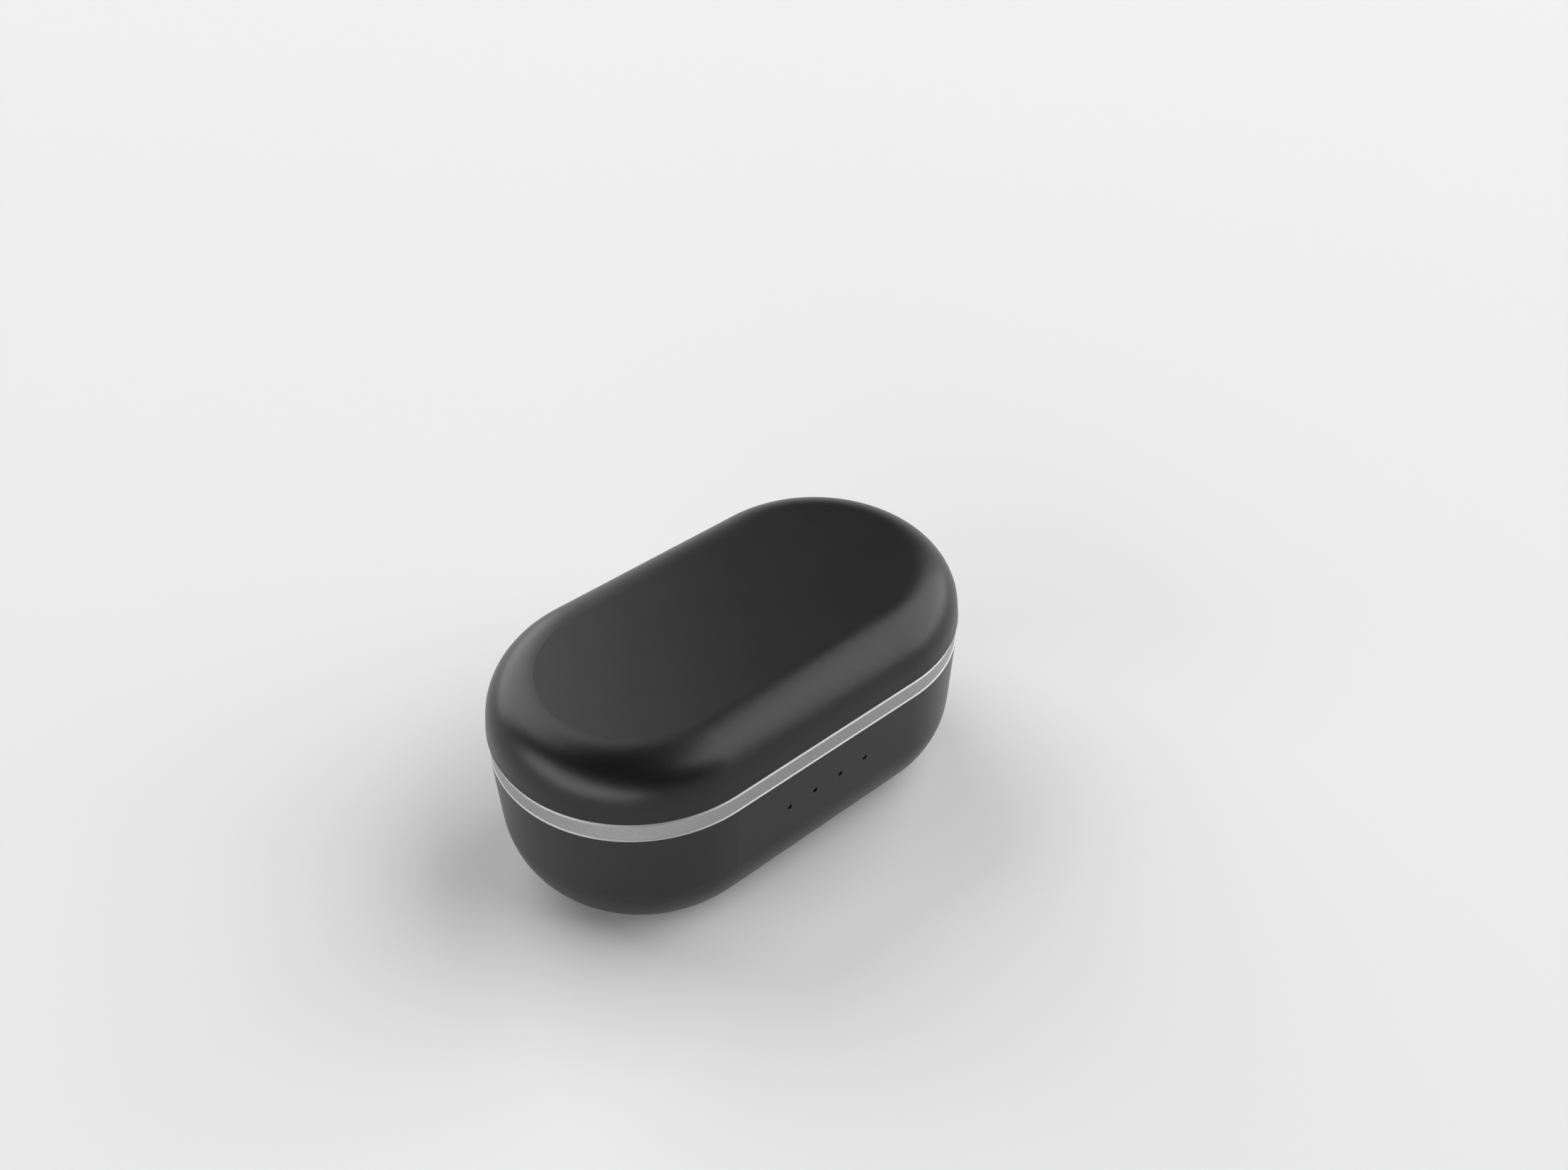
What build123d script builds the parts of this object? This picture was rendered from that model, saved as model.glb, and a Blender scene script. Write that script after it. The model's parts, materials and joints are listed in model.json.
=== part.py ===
from build123d import *
import os
from math import cos, radians, sin, sqrt

# Wireless earbuds charging case, closed, standing on its flat bottom. Sizes are millimetres.
# +X runs along the long side, -Y is the front with the lamp holes, +Y is the hinge side, +Z is up.
# The origin is the middle of the flat bottom. Seen from above the outline is a stadium: its
# spine is the line between the centres of the two round ends, and most sections are drawn as
# (distance from the spine, height).

# Outer form
LENGTH = 65.0
WIDTH = 36.6
BASE_HEIGHT = 18.7
RING_HEIGHT = 2.5
LID_GAP = 0.25
LID_HEIGHT = 7.1
LIP_OVERHANG = 0.06
LID_WALL_HEIGHT = 1.8
LID_DRAFT = 0.2
CROWN_WIDTH = 6.1
FOOT_FILLET_WIDTH = 7.4
FOOT_FILLET_HEIGHT = 8.6
BASE_DRAFT = 0.44
EDGE_ROUND = 0.2
CROWN_FULLNESS = 0.56
FOOT_FULLNESS = 0.56

# Walls and the metal trim ring
BASE_WALL = 1.5
LID_WALL = 1.5
RING_WALL = 1.0
RING_STEP = 0.1
RING_CHAMFER = 0.2

# Clearances
FIT = 0.08
RUN = 0.05
SWING_CLEARANCE = 0.05
GAP = 0.25

# Hinge
LID_OPEN = 100.0
BARREL_RADIUS = 1.45
COVER_SET = 0.05
PIN_RADIUS = 0.5
ARM_HALF = 9.0
EAR_RADIUS = 1.05
EAR_WIDTH = 2.0
EAR_GAP = 0.5
TAB_THICK = 1.1
FOOT_THICK = 1.2
FOOT_HALF = 7.0
FOOT_REACH = 4.2
ARM_SCREW_X = 4.5
BRACKET_PLATE = 1.0
BRACKET_TAB_WIDTH = 3.0
BRACKET_TAB_ROOT = 1.0
BRACKET_TAB_LENGTH = 2.7
BRACKET_TAB_THICK = 0.8
SPRING_WIRE = 0.3
SPRING_RADIUS = 0.8
SPRING_TURNS = 3.75
SPRING_POCKET = 1.8
SPRING_LEG = 2.2

# Tray with the two earbud wells
RIM_DROP = 0.25
RIM_WIDTH = 1.4
DECK_DROP = 0.65
DECK_THICK = 0.9
SKIRT_DEPTH = 2.4
SKIRT_WALL = 1.0
WELL_SHIFT = 1.3
WELL_Y = -0.5
WELL_DEPTH = 8.3
WELL_FLOOR_RADIUS = 4.6
WELL_RISE = 6.4
WELL_WALL = 1.0
WELL_ROUND = 0.6
TIP_OFFSET = 6.3
TIP_RADIUS = 4.7
TIP_DEPTH = 10.0
CLIP_INSET = 3.2
CLIP_WIDTH = 4.0
CLIP_HEIGHT = 0.9
CLIP_BITE = 0.35

# Lid liner
LINER_RECESS = 0.5
LINER_THICK = 1.0
LINER_WALL = 0.8
RECESS_INSET = 0.4
RECESS_FLOOR_RADIUS = 6.5
RECESS_RISE = 2.6
RECESS_ROUND = 0.5

# Electronics
BOARD_DROP = 0.4
BOARD_THICK = 0.8
BOARD_MARGIN = 1.0
BOARD_SCREW_INSET = 1.6
BOARD_SCREW_ANGLE = 28.5
CHIP_LARGE = 5.0
CHIP_MEDIUM = 3.0
CHIP_SMALL = 0.8
CHIP_EDGE = 0.1
CHIP_PITCH = 5.5
CAPACITOR_COUNT = 4
CAPACITOR_SET = 1.6
POWER_COIL_SIZE = 3.0
POWER_COIL_HEIGHT = 1.6
LAMP_DROP = 5.3
LAMP_PITCH = 4.1
LAMP_RADIUS = 0.35
LAMP_COUNT = 4
LAMP_RECESS = 0.3
GUIDE_BAR = 1.2
LED_SIZE = 1.0
LED_HEIGHT = 0.5
SOCKET_WIDTH = 8.94
SOCKET_HEIGHT = 3.16
SOCKET_DEPTH = 7.3
SOCKET_WALL = 0.3
SOCKET_RECESS = 0.15
SOCKET_RELIEF = 0.15
TONGUE_WIDTH = 6.7
TONGUE_THICK = 0.7
TONGUE_LENGTH = 4.5
PIN_PITCH = 4.0
PIN_OFFSET = -3.4
POGO_RADIUS = 0.75
POGO_WALL = 0.15
POGO_TIP = 0.43
POGO_LIFT = 0.9
POGO_COLLAR = 0.5
POGO_FLOOR = 0.3
POGO_NECK_LENGTH = 0.4
POGO_SPRING_WIRE = 0.12
POGO_SPRING_TURNS = 5

# Power
COIL_SPINE = 9.0
COIL_MARGIN = 1.34
COIL_BAND = 4.4
COIL_THICK = 0.8
COIL_TURNS = 10
FERRITE_MARGIN = 0.8
FERRITE_THICK = 0.4
PAD_THICK = 0.5
PAD_MARGIN = 1.5
CELL_LENGTH = 32.0
CELL_WIDTH = 18.0
CELL_GAP = 0.9
CELL_Y = -2.0
CELL_TAB_WIDTH = 2.4
CELL_TAB_THICK = 0.2
CELL_TAB_REACH = 1.4
LEAD_WIRE = 0.4

# Magnets and screws
MAGNET_LENGTH = 4.5
MAGNET_WIDTH = 2.4
MAGNET_THICK = 1.8
MAGNET_X = 3.4
MAGNET_INSET = 4.3
BUD_MAGNET_RADIUS = 2.3
BUD_MAGNET_THICK = 1.4
SCREW_RADIUS = 0.6
SCREW_HEAD_RADIUS = 1.1
SCREW_HEAD_HEIGHT = 0.7
SCREW_LENGTH = 2.4
BRACKET_SCREW_LENGTH = 2.0
BOSS_RADIUS = 1.5

# Pull of a cubic curve that stands for a quarter round, and how far cutters run past a face
ROUND = 0.55
OVERCUT = 1.0

# Worked out from the sizes above
SPINE = (LENGTH - WIDTH) / 2
LIP_RADIUS = WIDTH / 2
BASE_RADIUS = LIP_RADIUS - LIP_OVERHANG
BASE_SLOPE = BASE_DRAFT / (BASE_HEIGHT - FOOT_FILLET_HEIGHT)
FLAT_RADIUS = BASE_RADIUS - BASE_DRAFT - FOOT_FILLET_WIDTH
RING_TOP = BASE_HEIGHT + RING_HEIGHT
LIP_Z = RING_TOP + LID_GAP
TOP_Z = LIP_Z + LID_HEIGHT
FACE_RADIUS = BASE_RADIUS - RING_STEP
RING_INNER = BASE_RADIUS - RING_WALL
FLANGE_RADIUS = RING_INNER - RUN
RIM_TOP = RING_TOP - RIM_DROP
DECK_TOP = RIM_TOP - DECK_DROP
DECK_UNDER = DECK_TOP - DECK_THICK
SKIRT_RADIUS = BASE_RADIUS - BASE_WALL - BASE_SLOPE * SKIRT_DEPTH - FIT
WELL_FLOOR = DECK_TOP - WELL_DEPTH
TIP_FLOOR = DECK_TOP - TIP_DEPTH

# The hinge axis lies deep enough below the parting plane that the ring's rear corner, which
# swings through an arc seen from the lid, stays inside the gap under the lid's lip.
HINGE_Y = FACE_RADIUS - COVER_SET - BARREL_RADIUS
CORNER_REACH = FACE_RADIUS - RING_CHAMFER - HINGE_Y
CORNER_RISE = LID_GAP - SWING_CLEARANCE
HINGE_Z = RING_TOP - (CORNER_REACH**2 - CORNER_RISE**2) / (2 * CORNER_RISE)
NOTCH_HALF = ARM_HALF + GAP
NOTCH_REACH = BARREL_RADIUS + RING_STEP + COVER_SET
OVERSWING = radians(LID_OPEN - 90)
NOTCH_DEPTH = (BARREL_RADIUS + NOTCH_REACH * sin(OVERSWING)) / cos(OVERSWING) + GAP
EAR_START = ARM_HALF + EAR_GAP
EAR_END = EAR_START + EAR_WIDTH
BRACKET_TOP = HINGE_Z + EAR_RADIUS
BRACKET_REAR = HINGE_Y - BARREL_RADIUS - GAP
BRACKET_FRONT = BRACKET_REAR - BRACKET_PLATE
BRACKET_SCREW_X = EAR_END + BRACKET_TAB_WIDTH / 2 - BRACKET_TAB_ROOT
BRACKET_SCREW_Y = BRACKET_FRONT - BRACKET_TAB_LENGTH / 2
TAB_REAR = LIP_RADIUS - LID_WALL - LID_DRAFT - FIT
TAB_FRONT = TAB_REAR - TAB_THICK
LINER_Z = LIP_Z + LINER_RECESS
LINER_TOP = LINER_Z + LINER_THICK
LINER_RADIUS = LIP_RADIUS - LID_WALL - LID_DRAFT - FIT
FOOT_Z = LINER_TOP + RUN
FOOT_TOP = FOOT_Z + FOOT_THICK
LINER_CEILING = TOP_Z - LID_WALL - RUN - LINER_WALL
MAGNET_Y = -(LIP_RADIUS - MAGNET_INSET)

# The wells reach back as far as the bracket's screw posts let them, and stand over the middles
# of the round ends. The board hangs just under the lowest of them, and the cell fills the rest.
WELL_X = SPINE + WELL_SHIFT
WELL_RADIUS = BRACKET_SCREW_Y - BOSS_RADIUS - FIT - WELL_WALL - WELL_Y
TIP_X = WELL_X - TIP_OFFSET
TIP_Y = WELL_Y + WELL_RADIUS - TIP_RADIUS
RECESS_RADIUS = WELL_RADIUS - RECESS_INSET
CLIP_X = SPINE - CLIP_INSET
WELLS_LOW = min(TIP_FLOOR, WELL_FLOOR - BUD_MAGNET_THICK) - WELL_WALL
BOARD_TOP = WELLS_LOW - BOARD_DROP
BOARD_Z = BOARD_TOP - BOARD_THICK
BOARD_RADIUS = BASE_RADIUS - BASE_DRAFT - BASE_WALL - BOARD_MARGIN
BOARD_SCREW_RING = BOARD_RADIUS - BOARD_SCREW_INSET
BOARD_SCREW_X = SPINE + BOARD_SCREW_RING * cos(radians(BOARD_SCREW_ANGLE))
BOARD_SCREW_Y = BOARD_SCREW_RING * sin(radians(BOARD_SCREW_ANGLE))
LAMP_Z = BASE_HEIGHT - LAMP_DROP
POGO_BORE = POGO_RADIUS - POGO_WALL
POGO_NECK = POGO_TIP + RUN
COIL_RADIUS = FLAT_RADIUS - COIL_MARGIN
COIL_INNER = COIL_RADIUS - COIL_BAND
COIL_TOP = BASE_WALL + COIL_THICK
PAD_TOP = COIL_TOP + FERRITE_THICK + PAD_THICK
CELL_THICK = BOARD_Z - CELL_GAP - PAD_TOP


def section(*edges):
    """Face bounded by the given edges in the plane y = 0."""
    return make_face(edges)


def polygon(*points):
    """Face with straight sides through points given as (distance from the spine, height)."""
    corners = [(r, 0, z) for r, z in points]
    return section(*Polyline(*corners, close=True).edges())


def pill(half, spine=SPINE):
    """Carries a half section round a stadium outline."""
    front = Rot(Z=-90) * half
    side = Pos(X=-spine) * extrude(front, 2 * spine, dir=(1, 0, 0))
    end = Pos(X=spine) * revolve(front, Axis.Z, 180)
    turn = Rot(Z=180)
    return side + end + turn * side + turn * end


def stadium(spine, radius, low, high):
    """Flat stadium plate between two heights."""
    outline = SlotCenterToCenter(2 * spine, 2 * radius)
    return Pos(Z=low) * extrude(outline, high - low)


def block(x, y, z):
    """Box between pairs of limits."""
    middle = Pos((x[0] + x[1]) / 2, (y[0] + y[1]) / 2, (z[0] + z[1]) / 2)
    return middle * Box(x[1] - x[0], y[1] - y[0], z[1] - z[0])


def post(x, y, radius, low, high):
    """Upright round post or hole."""
    return Pos(x, y, low) * extrude(Circle(radius), high - low)


def bar(radius, x0, x1, y, z):
    """Round bar along X."""
    return Pos(x0, y, z) * Rot(Y=90) * extrude(Circle(radius), x1 - x0)


def both_sides(solid):
    """A solid and its mirror image across the middle of the long side."""
    return [solid, mirror(solid, Plane.YZ)]


def base_half(inset):
    """Half section of the base form, moved inward by inset."""
    rim = (BASE_RADIUS - inset, 0, BASE_HEIGHT)
    knee_r = BASE_RADIUS - BASE_DRAFT - inset
    drop = FOOT_FULLNESS * (FOOT_FILLET_HEIGHT - inset)
    knee = (knee_r, 0, FOOT_FILLET_HEIGHT)
    knee_pull = (knee_r - BASE_SLOPE * drop, 0, FOOT_FILLET_HEIGHT - drop)
    toe = (FLAT_RADIUS, 0, inset)
    toe_pull = (FLAT_RADIUS + FOOT_FULLNESS * (FOOT_FILLET_WIDTH - inset), 0, inset)
    return section(
        Line((0, 0, BASE_HEIGHT), rim),
        Line(rim, knee),
        Bezier(knee, knee_pull, toe_pull, toe),
        Line(toe, (0, 0, inset)),
        Line((0, 0, inset), (0, 0, BASE_HEIGHT)),
    )


def lid_half(inset, edge):
    """Half section of the lid form, moved inward by inset, with its lip edge rounded by edge."""
    lip_r = LIP_RADIUS - inset
    shoulder_z = LIP_Z + LID_WALL_HEIGHT
    slope = LID_DRAFT / LID_WALL_HEIGHT
    shoulder_r = lip_r - LID_DRAFT
    crown_r = LIP_RADIUS - LID_DRAFT - CROWN_WIDTH
    crown_z = TOP_Z - inset
    rise = CROWN_FULLNESS * (crown_z - shoulder_z)
    shoulder = (shoulder_r, 0, shoulder_z)
    shoulder_pull = (shoulder_r - slope * rise, 0, shoulder_z + rise)
    crown = (crown_r, 0, crown_z)
    crown_pull = (crown_r + CROWN_FULLNESS * (shoulder_r - crown_r), 0, crown_z)
    lip = (lip_r - slope * edge, 0, LIP_Z + edge)
    sides = [
        Line((0, 0, LIP_Z), (lip_r - edge, 0, LIP_Z)),
        Line(lip, shoulder),
        Bezier(shoulder, shoulder_pull, crown_pull, crown),
        Line(crown, (0, 0, crown_z)),
        Line((0, 0, crown_z), (0, 0, LIP_Z)),
    ]
    if edge:
        sides.insert(1, Bezier((lip_r - edge, 0, LIP_Z), (lip_r, 0, LIP_Z), lip))
    return section(*sides)


def pocket(radius, toe_r, rise, floor, top, flare, over):
    """Round hollow about Z: flat floor, curved foot, upright wall and a mouth rounded by flare."""
    knee_z = floor + rise
    mouth_z = top - flare
    mouth_r = radius + flare
    foot = Bezier(
        (toe_r, 0, floor),
        (toe_r + ROUND * (radius - toe_r), 0, floor),
        (radius, 0, knee_z - ROUND * rise),
        (radius, 0, knee_z),
    )
    sides = [foot, Line((radius, 0, knee_z), (radius, 0, mouth_z))]
    if flare:
        lead = Bezier(
            (radius, 0, mouth_z),
            (radius, 0, mouth_z + ROUND * flare),
            (mouth_r - ROUND * flare, 0, top),
            (mouth_r, 0, top),
        )
        sides.append(lead)
    if over:
        sides.append(Line((mouth_r, 0, top), (mouth_r, 0, top + over)))
    sides.append(Line((mouth_r, 0, top + over), (0, 0, top + over)))
    sides.append(Line((0, 0, top + over), (0, 0, floor)))
    if toe_r:
        sides.append(Line((0, 0, floor), (toe_r, 0, floor)))
    return revolve(section(*sides), Axis.Z)


def clip_places():
    """Frames of the snap clips: X points outward from the spine."""
    fronts = [Pos(X=side * CLIP_X) * Rot(Z=-90) for side in (-1, 1)]
    ends = [Pos(X=-SPINE) * Rot(Z=180), Pos(X=SPINE)]
    return fronts + ends


def lamp_places():
    """Positions along X of the lamps behind the front wall."""
    return [(n - (LAMP_COUNT - 1) / 2) * LAMP_PITCH for n in range(LAMP_COUNT)]


def pin_places():
    """Named positions of the charging contacts, two in each well."""
    places = {}
    for side_name, side in (("left", -1), ("right", 1)):
        for pin_name, step in (("outer", 1), ("inner", -1)):
            x = side * (WELL_X + step * PIN_PITCH / 2)
            places[f"{side_name}_{pin_name}"] = (x, WELL_Y + PIN_OFFSET)
    return places


def corner_places(x, y):
    """Four places mirrored about both middle planes."""
    return [(sx * x, sy * y) for sx in (-1, 1) for sy in (-1, 1)]


def socket_outline(grow):
    """Stadium outline of the charging socket, widened all round by grow."""
    height = SOCKET_HEIGHT + 2 * grow
    return SlotOverall(SOCKET_WIDTH + 2 * grow, height)


def along_y(face, y0, y1, z):
    """Extrudes a face, drawn with its second axis up, between two depths."""
    place = Plane(origin=(0, y0, z), x_dir=(-1, 0, 0), z_dir=(0, 1, 0))
    return extrude(place * face, y1 - y0)


def socket_z():
    """Height of the charging socket's axis, hung under the board."""
    return BOARD_Z - SOCKET_HEIGHT / 2


def socket_mouth():
    """Depth of the socket's mouth, just inside the curved foot of the rear wall."""
    drop = (FOOT_FILLET_HEIGHT - (socket_z() - SOCKET_HEIGHT / 2)) / FOOT_FILLET_HEIGHT
    curve_in = FOOT_FILLET_WIDTH * (1 - sqrt(1 - drop**2))
    return BASE_RADIUS - BASE_DRAFT - curve_in - SOCKET_RECESS


def screw(x, y, head_z, length):
    """Screw driven upward, its head hanging below head_z."""
    head = post(x, y, SCREW_HEAD_RADIUS, head_z - SCREW_HEAD_HEIGHT, head_z)
    recess = Pos(x, y, head_z - SCREW_HEAD_HEIGHT) * extrude(
        RegularPolygon(SCREW_HEAD_RADIUS / 2, 6), SCREW_HEAD_HEIGHT / 2
    )
    return head + post(x, y, SCREW_RADIUS, head_z, head_z + length) - recess


def base_shell():
    """Lower casing: a deep tub with a notch for the hinge and openings for lamps and plug."""
    shell = pill(base_half(0)) - pill(base_half(BASE_WALL))
    outside = LIP_RADIUS + OVERCUT
    notch_floor = HINGE_Z - NOTCH_DEPTH
    shell -= block((-NOTCH_HALF, NOTCH_HALF), (BRACKET_REAR, outside), (notch_floor, LIP_Z))
    shell -= ear_room(LIP_Z)
    mouth = socket_outline(SOCKET_RELIEF)
    shell -= along_y(mouth, socket_mouth() - SOCKET_DEPTH, outside, socket_z())
    for x in lamp_places():
        hole = Pos(x, -outside, LAMP_Z) * Rot(X=-90) * extrude(Circle(LAMP_RADIUS), WIDTH / 4)
        shell -= hole
    for place in clip_places():
        shell -= place * clip_block(FIT)
    return shell


def ear_room(top):
    """Room round the bracket's ears, up to the given height."""
    half = EAR_END + FIT
    depth = (BRACKET_FRONT, HINGE_Y + EAR_RADIUS + FIT)
    return block((-half, half), depth, (HINGE_Z - EAR_RADIUS - FIT, top))


def clip_block(grow):
    """Snap clip in its own frame: a small block that stands proud of the tray's skirt."""
    root = SKIRT_RADIUS - SKIRT_WALL / 2
    tip = SKIRT_RADIUS + CLIP_BITE + grow
    low = BASE_HEIGHT - SKIRT_DEPTH + CLIP_BITE
    high = low + CLIP_HEIGHT
    half = CLIP_WIDTH / 2 + grow
    ramp = polygon(
        (root, low - grow),
        (SKIRT_RADIUS + grow, low - grow),
        (tip, (low + high) / 2),
        (tip, high + grow),
        (root, high + grow),
    )
    return Pos(Y=half) * extrude(ramp, 2 * half, dir=(0, -1, 0))


def trim_ring():
    """Metal band between the casings, open at the back for the hinge."""
    foot = BASE_HEIGHT + RING_STEP
    half = polygon(
        (RING_INNER, BASE_HEIGHT),
        (BASE_RADIUS, BASE_HEIGHT),
        (BASE_RADIUS, foot),
        (FACE_RADIUS, foot + RING_STEP),
        (FACE_RADIUS, RING_TOP - RING_CHAMFER),
        (FACE_RADIUS - RING_CHAMFER, RING_TOP),
        (RING_INNER, RING_TOP),
    )
    notch = block((-NOTCH_HALF, NOTCH_HALF), (0, WIDTH), (BASE_HEIGHT - OVERCUT, LIP_Z))
    return pill(half) - notch - ear_room(BRACKET_TOP + FIT)


def well_cutter():
    """Both hollows of one earbud's well, on the right side."""
    bowl = pocket(
        WELL_RADIUS, WELL_FLOOR_RADIUS, WELL_RISE, WELL_FLOOR, DECK_TOP, WELL_ROUND, RIM_WIDTH
    )
    tip = pocket(TIP_RADIUS, 0, TIP_RADIUS, TIP_FLOOR, DECK_TOP, WELL_ROUND, RIM_WIDTH)
    return Pos(WELL_X, WELL_Y) * bowl + Pos(TIP_X, TIP_Y) * tip


def well_cup():
    """Outside of one earbud's well, on the right side."""
    bowl = pocket(
        WELL_RADIUS + WELL_WALL,
        WELL_FLOOR_RADIUS + WELL_WALL / 2,
        WELL_RISE,
        WELL_FLOOR - WELL_WALL,
        DECK_UNDER + DECK_THICK / 2,
        0,
        0,
    )
    tip_r = TIP_RADIUS + WELL_WALL
    tip = pocket(tip_r, 0, tip_r, TIP_FLOOR - WELL_WALL, DECK_UNDER + DECK_THICK / 2, 0, 0)
    return Pos(WELL_X, WELL_Y) * bowl + Pos(TIP_X, TIP_Y) * tip


def tray():
    """Inner tray: rim, deck and skirt in one moulding, with two wells hanging from the deck."""
    skirt_inner = SKIRT_RADIUS - SKIRT_WALL
    skirt_low = BASE_HEIGHT - SKIRT_DEPTH
    rim_inner = FLANGE_RADIUS - RIM_WIDTH
    half = polygon(
        (0, DECK_UNDER),
        (skirt_inner, DECK_UNDER),
        (skirt_inner, skirt_low),
        (SKIRT_RADIUS, skirt_low),
        (SKIRT_RADIUS, BASE_HEIGHT),
        (FLANGE_RADIUS, BASE_HEIGHT),
        (FLANGE_RADIUS, RIM_TOP - EDGE_ROUND),
        (FLANGE_RADIUS - EDGE_ROUND, RIM_TOP),
        (rim_inner, RIM_TOP),
        (rim_inner - DECK_DROP / 3, DECK_TOP),
        (0, DECK_TOP),
    )
    body = pill(half)
    for place in clip_places():
        body += place * clip_block(0)
    for x, y in corner_places(BOARD_SCREW_X, BOARD_SCREW_Y):
        body += post(x, y, BOSS_RADIUS, BOARD_TOP, DECK_UNDER + DECK_THICK / 2)
    for side in (-1, 1):
        boss_top = DECK_UNDER + DECK_THICK / 2
        body += post(side * BRACKET_SCREW_X, BRACKET_SCREW_Y, BOSS_RADIUS, BRACKET_TOP, boss_top)
        body += magnet_frame(side * MAGNET_X, MAGNET_Y, DECK_UNDER - MAGNET_THICK / 2, boss_top)
    for cup in both_sides(well_cup()):
        body += cup
    for cutter in both_sides(well_cutter()):
        body -= cutter
    for x, y in corner_places(BOARD_SCREW_X, BOARD_SCREW_Y):
        body -= post(x, y, SCREW_RADIUS, BOARD_TOP, BOARD_Z + SCREW_LENGTH + GAP)
    for side in (-1, 1):
        hole_top = BRACKET_TOP - BRACKET_TAB_THICK + BRACKET_SCREW_LENGTH
        body -= post(side * BRACKET_SCREW_X, BRACKET_SCREW_Y, SCREW_RADIUS, BRACKET_TOP, hole_top)
        body -= magnet_block(side * MAGNET_X, MAGNET_Y, DECK_UNDER - MAGNET_THICK)
    for x, y in pin_places().values():
        body -= post(x, y, POGO_RADIUS + FIT, BOARD_TOP, WELL_FLOOR + WELL_WALL)
    cut_low = skirt_low - OVERCUT
    body -= block((-NOTCH_HALF, NOTCH_HALF), (BRACKET_REAR, WIDTH), (cut_low, LIP_Z))
    ear_side = EAR_END + FIT
    body -= block((-ear_side, ear_side), (BRACKET_FRONT - FIT, WIDTH), (cut_low, BRACKET_TOP + FIT))
    return body


def magnet_block(x, y, low):
    """Bar magnet lying along X."""
    length = (x - MAGNET_LENGTH / 2, x + MAGNET_LENGTH / 2)
    width = (y - MAGNET_WIDTH / 2, y + MAGNET_WIDTH / 2)
    return block(length, width, (low, low + MAGNET_THICK))


def magnet_frame(x, y, low, high):
    """Low wall that locates a bar magnet."""
    length = MAGNET_LENGTH / 2 + SKIRT_WALL / 2
    width = MAGNET_WIDTH / 2 + SKIRT_WALL / 2
    return block((x - length, x + length), (y - width, y + width), (low, high))


def hinge_arm():
    """Lid half of the hinge: a barrel with a flush cover, a tab and a foot inside the lid."""
    barrel = bar(BARREL_RADIUS, -ARM_HALF, ARM_HALF, HINGE_Y, HINGE_Z)
    cover_y = (HINGE_Y - BARREL_RADIUS, HINGE_Y + BARREL_RADIUS)
    cover = block((-ARM_HALF, ARM_HALF), cover_y, (HINGE_Z, LIP_Z))
    tab_low = LIP_Z - RING_HEIGHT
    tab_profile = Polyline(
        (TAB_FRONT, tab_low),
        (TAB_REAR, tab_low),
        (TAB_REAR, FOOT_TOP - TAB_THICK / 2),
        (TAB_REAR - TAB_THICK / 2, FOOT_TOP),
        (TAB_FRONT, FOOT_TOP),
        close=True,
    )
    tab_place = Plane(origin=(-ARM_HALF, 0, 0), x_dir=(0, 1, 0), z_dir=(1, 0, 0))
    tab = extrude(tab_place * make_face(tab_profile.edges()), 2 * ARM_HALF)
    foot_front = TAB_FRONT - FOOT_REACH
    foot = block((-FOOT_HALF, FOOT_HALF), (foot_front, TAB_REAR - TAB_THICK / 2), (FOOT_Z, FOOT_TOP))
    arm = barrel + cover + tab + foot
    arm -= bar(PIN_RADIUS + RUN, -LENGTH / 2, LENGTH / 2, HINGE_Y, HINGE_Z)
    for side in (-1, 1):
        ends = sorted((side * (ARM_HALF - SPRING_POCKET), side * (ARM_HALF + OVERCUT)))
        arm -= bar(EAR_RADIUS, ends[0], ends[1], HINGE_Y, HINGE_Z)
        slot_end = ARM_HALF - SPRING_POCKET
        slot = sorted((side * (slot_end - SPRING_WIRE), side * (slot_end + 2 * SPRING_WIRE)))
        slot_y = (HINGE_Y - EAR_RADIUS, HINGE_Y - EAR_RADIUS + 2 * SPRING_WIRE)
        arm -= block(slot, slot_y, (HINGE_Z, HINGE_Z + SPRING_LEG + SPRING_WIRE))
        x = side * ARM_SCREW_X
        arm -= post(x, arm_screw_y(), SCREW_RADIUS, FOOT_Z, FOOT_TOP + OVERCUT)
        seat_top = FOOT_Z + SCREW_HEAD_HEIGHT
        arm -= post(x, arm_screw_y(), SCREW_HEAD_RADIUS + FIT, FOOT_Z - OVERCUT, seat_top)
    return arm


def arm_screw_y():
    """Middle of the hinge arm's foot."""
    return TAB_FRONT - FOOT_REACH / 2


def lid_shell():
    """Upper casing with a crowned top and two bosses for the hinge arm."""
    shell = pill(lid_half(0, EDGE_ROUND)) - pill(lid_half(LID_WALL, 0))
    core = pill(lid_half(LID_WALL / 2, 0))
    for side in (-1, 1):
        x = side * ARM_SCREW_X
        shell += post(x, arm_screw_y(), BOSS_RADIUS, FOOT_TOP, TOP_Z) & core
        hole_top = FOOT_Z + SCREW_HEAD_HEIGHT + SCREW_LENGTH
        shell -= post(x, arm_screw_y(), SCREW_RADIUS, FOOT_TOP, hole_top)
    return shell


def recess_cutter(grow):
    """Room over one earbud, on the right side, opening downward."""
    radius = RECESS_RADIUS + grow
    height = LINER_CEILING - LINER_Z + grow
    flare = 0 if grow else RECESS_ROUND
    over = 0 if grow else RECESS_ROUND
    hollow = pocket(radius, RECESS_FLOOR_RADIUS, RECESS_RISE, -height, 0, flare, over)
    return Pos(WELL_X, WELL_Y, LINER_Z) * Rot(X=180) * hollow


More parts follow.
